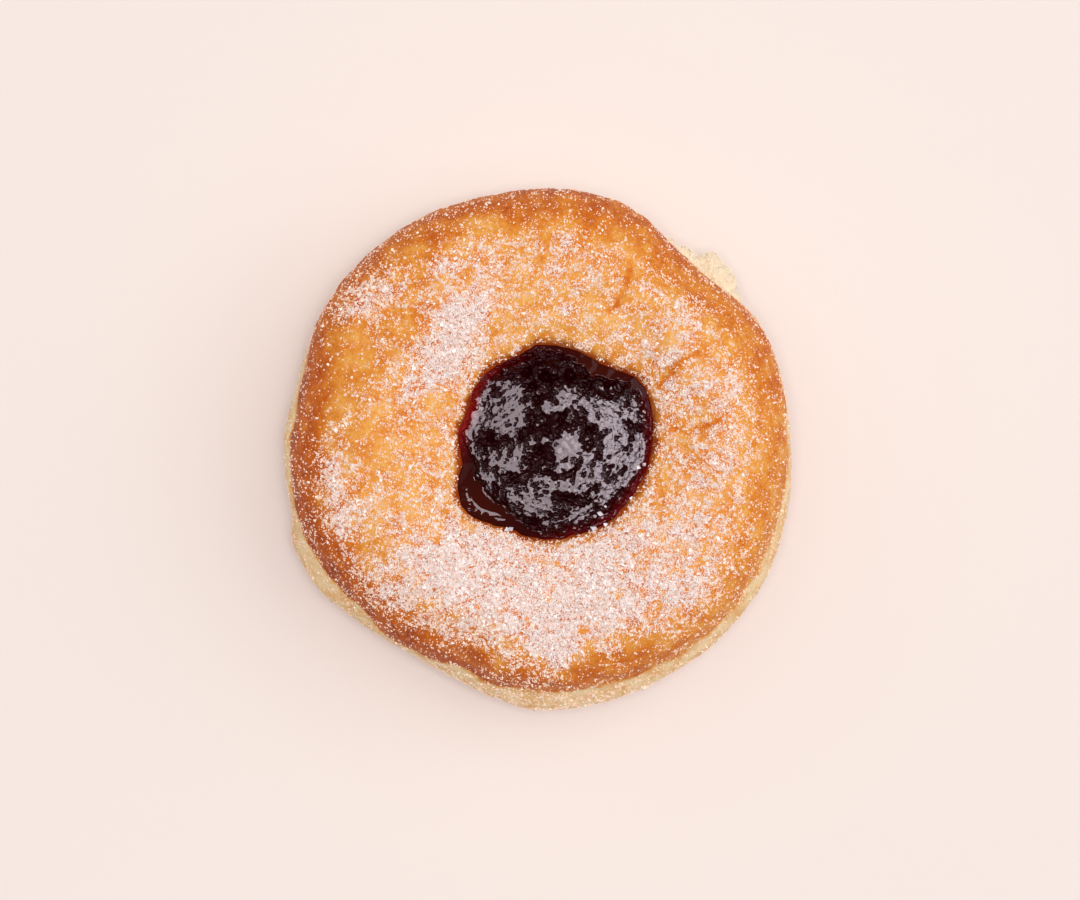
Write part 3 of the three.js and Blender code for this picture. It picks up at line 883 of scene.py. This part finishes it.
# Each kind of crystal: name, width, or for a block its side, how many, colour in a heap, colour alone,
# roughness.
BLOCKS = [("sugar_blocks", 0.24, 8000, (255, 246, 242), (255, 236, 214), 0.25)]
CHIPS = [("sugar_clear", 0.25, 13000, (248, 214, 194), (252, 208, 174), 0.2)]
SPLINTERS = [
    ("sugar_crumbs", 0.23, 47500, (253, 229, 221), (255, 222, 197), 0.45),
    ("sugar_fines", 0.21, 47500, (255, 237, 230), (255, 230, 205), 0.4),
]
SPECKS = ("torn_specks", 0.26, 1800, (252, 236, 208), (252, 236, 208), 0.6)
# Large grains that lie on the jelly and at its rim, from its centre, as (x, y). The two at (8.3, -11.0) and
# (7.4, -12.2) are painted highlights: white crystals that stand for glints on beads of jelly.
GRAINS_AND_GLINTS_ON_JELLY = [
    (8.4, -14.2), (6.4, -14.8), (6.4, -15.5), (12.9, -9.6), (16.7, -3.0), (15.1, -3.7), (14.0, -4.2),
    (-8.1, -15.0), (-8.8, -15.1), (8.3, -11.0), (7.4, -12.2),
]
RIM_GRAINS_AND_GLINTS = ("sugar_and_glints_on_jelly", 0.8, len(GRAINS_AND_GLINTS_ON_JELLY), (246, 240, 244), (240, 234, 240), 0.3)
# Up to which share of cover crystals count as lone, and from which as fully heaped.
HEAPED = (0.25, 0.85)
BLOCK_CORNERS = np.array([(i, j, k) for i in (-0.5, 0.5) for j in (-0.5, 0.5) for k in (-0.5, 0.5)])
BLOCK_FACES = np.array([(0, 1, 3, 2), (4, 6, 7, 5), (0, 4, 5, 1), (2, 3, 7, 6), (0, 2, 6, 4), (1, 5, 7, 3)])
CHIP_RADIUS, CHIP_HALF_HEIGHT = 0.51, 0.36
SPLINTER_RADIUS, SPLINTER_TOP, SPLINTER_POINT = 0.65, 0.23, 0.69


def triangle(radius, turn, height):
    """The corners of a level triangle."""
    at = np.radians([turn, turn + 120, turn + 240])
    return np.stack([radius * np.cos(at), radius * np.sin(at), np.full(3, height)], -1)


# A chip has eight sides and a splinter four. Both rest with a side up.
CHIP_TOP = triangle(CHIP_RADIUS, 0, CHIP_HALF_HEIGHT)
CHIP_CORNERS = np.concatenate([CHIP_TOP, triangle(CHIP_RADIUS, 60, -CHIP_HALF_HEIGHT)])
CHIP_FACES = np.array(
    [(0, 1, 2), (5, 4, 3), (0, 3, 1), (1, 4, 2), (2, 5, 0), (1, 3, 4), (2, 4, 5), (0, 5, 3)]
)
SPLINTER_CORNERS = np.concatenate([triangle(SPLINTER_RADIUS, 0, SPLINTER_TOP), [(0, 0, -SPLINTER_POINT)]])
SPLINTER_FACES = np.array([(0, 1, 2), (0, 3, 1), (1, 3, 2), (2, 3, 0)])
LEAN = 25.0  # how far crystals lean, as the spread of a normal distribution
CLUMP_SIZE = 1.0
CLUMPING = 1.1
# How much crystals differ in size, each of them in its three sides, and in where each corner lies.
SIZE_SPREAD = 0.25
SIDE_SPREAD = 0.25
CORNER_SPREAD = 0.2
LIFT = 0.25  # how high a crystal's middle lies, as a share of its size
HEAP_HEIGHT = 0.3


def resting_turns(rng, count):
    """Rotation matrices for things that rest with a side up: any turn, and a small lean."""
    spin, toward = rng.uniform(0, np.pi, count), rng.uniform(0, 2 * np.pi, count)
    lean = np.radians(LEAN) / 2 * rng.normal(size=count)
    w, x = np.cos(lean) * np.cos(spin), np.sin(lean) * np.cos(toward)
    y, z = np.sin(lean) * np.sin(toward), np.cos(lean) * np.sin(spin)
    return np.stack(
        [
            np.stack([1 - 2 * (y * y + z * z), 2 * (x * y - z * w), 2 * (x * z + y * w)], -1),
            np.stack([2 * (x * y + z * w), 1 - 2 * (x * x + z * z), 2 * (y * z - x * w)], -1),
            np.stack([2 * (x * z - y * w), 2 * (y * z + x * w), 1 - 2 * (x * x + y * y)], -1),
        ],
        1,
    )


class Strewn:
    """Draws places on the dough for crystals, thick where the cover is, in clumps where it is thin."""

    def __init__(self, grid, cover, rng):
        self.rng = rng
        corners = grid[:, :-1], np.roll(grid, -1, 0)[:, :-1], np.roll(grid, -1, 0)[:, 1:], grid[:, 1:]
        area = np.linalg.norm(np.cross(corners[2] - corners[0], corners[3] - corners[1]), axis=-1) / 2
        self.corners = [corner.reshape(-1, 3) for corner in corners]
        self.normals = grid_normals(grid)[:, :-1].reshape(-1, 3)
        self.cover = cover[:, :-1].ravel()
        weight = area.ravel() * -np.log(1 - self.cover)
        self.chance = weight / weight.sum()

    def draw(self, count):
        """Centres on the surface, their normals and their share of cover."""
        face = self.rng.choice(len(self.chance), 4 * count, p=self.chance)
        u, v = self.rng.uniform(size=(2, len(face), 1))
        low = self.corners[0][face] * (1 - u) + self.corners[1][face] * u
        high = self.corners[3][face] * (1 - u) + self.corners[2][face] * u
        place = low * (1 - v) + high * v
        clumps = ripple(place, CLUMP_SIZE, 91) + 0.5 * ripple(place, 2.7 * CLUMP_SIZE, 92)
        likely = np.exp(CLUMPING * (1 - 0.6 * self.cover[face]) * clumps)
        kept = np.argsort(self.rng.exponential(size=len(face)) / likely)[:count]
        return place[kept], self.normals[face[kept]], self.cover[face[kept]]


def make_crystals(rng, where, corners, corner_faces, name, width, count, heaped, lone, roughness):
    """One mesh of small crystals. where gives their places, the normals there and the share of cover."""
    place, normal, cover = where
    sides = (1 - SIDE_SPREAD, 1 + SIDE_SPREAD)
    sizes = width * rng.lognormal(0, SIZE_SPREAD, (count, 1)) * rng.uniform(*sides, (count, 3))
    lift = LIFT * sizes.mean(1) + rng.uniform(0, HEAP_HEIGHT, count) * cover**2
    centre = place + normal * lift[:, None]
    bent = 1 + rng.uniform(-CORNER_SPREAD, CORNER_SPREAD, (count, len(corners), 3))
    shape = corners * bent * sizes[:, None, :]
    points = centre[:, None, :] + np.einsum("nij,nkj->nki", resting_turns(rng, count), shape)
    faces = np.arange(count)[:, None, None] * len(corners) + corner_faces
    faces = faces.reshape(-1, corner_faces.shape[1])
    material = sugar_material(name, heaped, lone, roughness)
    crystals = add_object(name, points.reshape(-1, 3), faces.tolist(), material, False)
    paint(crystals, "heaped", np.repeat(np.interp(cover, HEAPED, (0, 1)), len(corners)))
    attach(crystals, "root")
    return crystals


def make_sugar(grid, cover):
    strewn = Strewn(grid, cover, np.random.default_rng(2024))
    shapes = [
        (BLOCKS, BLOCK_CORNERS, BLOCK_FACES),
        (CHIPS, CHIP_CORNERS, CHIP_FACES),
        (SPLINTERS, SPLINTER_CORNERS, SPLINTER_FACES),
    ]
    for kinds, corners, corner_faces in shapes:
        for kind in kinds:
            count = kind[2]
            crystals = make_crystals(strewn.rng, strewn.draw(count), corners, corner_faces, *kind)


def make_rim_grains_and_glints():
    """The few large grains on the jelly and at its rim.

    Two of them are painted highlights: white crystals that stand for glints on beads of jelly.
    """
    xy = np.array(GRAINS_AND_GLINTS_ON_JELLY)
    height = jelly_surface(xy[None])[0][0]
    place = np.column_stack([xy + JELLY_CENTRE, height])
    up = np.broadcast_to([0.0, 0.0, 1.0], place.shape)
    where = place, up, np.zeros(len(xy))
    grains = make_crystals(np.random.default_rng(11), where, CHIP_CORNERS, CHIP_FACES, *RIM_GRAINS_AND_GLINTS)


def make_specks(points, normals):
    """Fine crumbs that cling to the torn nub."""
    rng = np.random.default_rng(7)
    count = SPECKS[2]
    on = rng.integers(len(points), size=count)
    where = points[on], normals[on], np.zeros(count)
    specks = make_crystals(rng, where, SPLINTER_CORNERS, SPLINTER_FACES, *SPECKS)


# ---------------------------------------------------------------- floor, light and camera

FLOOR = linear(248, 236, 229)
FLOOR_HALF_WIDTH = 1500.0
FLOOR_HEIGHT = -0.15  # just clear of the base
WORLD_COLOUR = (1.0, 0.97, 0.96, 1)
WORLD_STRENGTH = 0.215
# Each light: name, size and place in metres, power in watts, colour.
LIGHTS = [
    ("overhead_softbox", 0.66, (-0.03, 0.0, 2.0), 16.2, (1.0, 0.975, 0.97)),
    ("near_softbox", 0.46, (0.29, 0.0, 2.0), 5.4, (0.96, 0.965, 1.0)),
    ("side_softbox", 2.6, (1.6, 0.4, 1.7), 20.6, (1.0, 0.985, 0.97)),
    ("fill_softbox", 2.6, (-1.6, 0.9, 1.5), 7.0, (1.0, 0.985, 0.97)),
]
CAMERA_LENS = 100.0
CAMERA_SENSOR = 36.0
CAMERA_DISTANCE = 535.7  # from the waist, which makes 5.6 pixels a millimetre in a picture 1080 wide


def make_floor():
    half, z = FLOOR_HALF_WIDTH, FLOOR_HEIGHT
    n = Nodes("paper")
    n.bump(n.noise(0.8, 3), 0.1, 0.03)
    corners = np.array([(-half, -half, z), (half, -half, z), (half, half, z), (-half, half, z)])
    paper = n.shade(Base_Color=FLOOR, Roughness=0.9)
    floor = add_object("floor", corners, [[0, 1, 2, 3]], paper, False)


def make_light(name, size, location, power, colour):
    light = bpy.data.lights.new(name, "AREA")
    light.shape = "DISK"
    light.size = size
    light.energy = power
    light.color = colour
    lamp = bpy.data.objects.new(name, light)
    lamp.location = location
    aim = -np.array(location) / np.linalg.norm(location)
    lamp.rotation_mode = "QUATERNION"
    lamp.rotation_quaternion = Vector(aim).to_track_quat("-Z", "Y")
    bpy.context.scene.collection.objects.link(lamp)


def make_stage():
    make_floor()
    for light in LIGHTS:
        make_light(*light)
    world = bpy.data.worlds.new("studio")
    world.use_nodes = True
    background = world.node_tree.nodes["Background"]
    background.inputs["Color"].default_value = WORLD_COLOUR
    background.inputs["Strength"].default_value = WORLD_STRENGTH
    bpy.context.scene.world = world
    bpy.context.scene.view_settings.view_transform = "Standard"
    camera_data = bpy.data.cameras.new("camera")
    camera_data.lens = CAMERA_LENS
    camera_data.sensor_width = CAMERA_SENSOR
    camera_data.clip_start = 0.01
    camera = bpy.data.objects.new("camera", camera_data)
    camera.location = (0, 0, (WAIST_HEIGHT + CAMERA_DISTANCE) * MM)
    bpy.context.scene.collection.objects.link(camera)
    bpy.context.scene.camera = camera


make_stage()
dough_points, sugar_share = make_dough()
make_specks(*make_torn_crumb())
make_jelly()
make_sugar(dough_points, sugar_share)
make_rim_grains_and_glints()
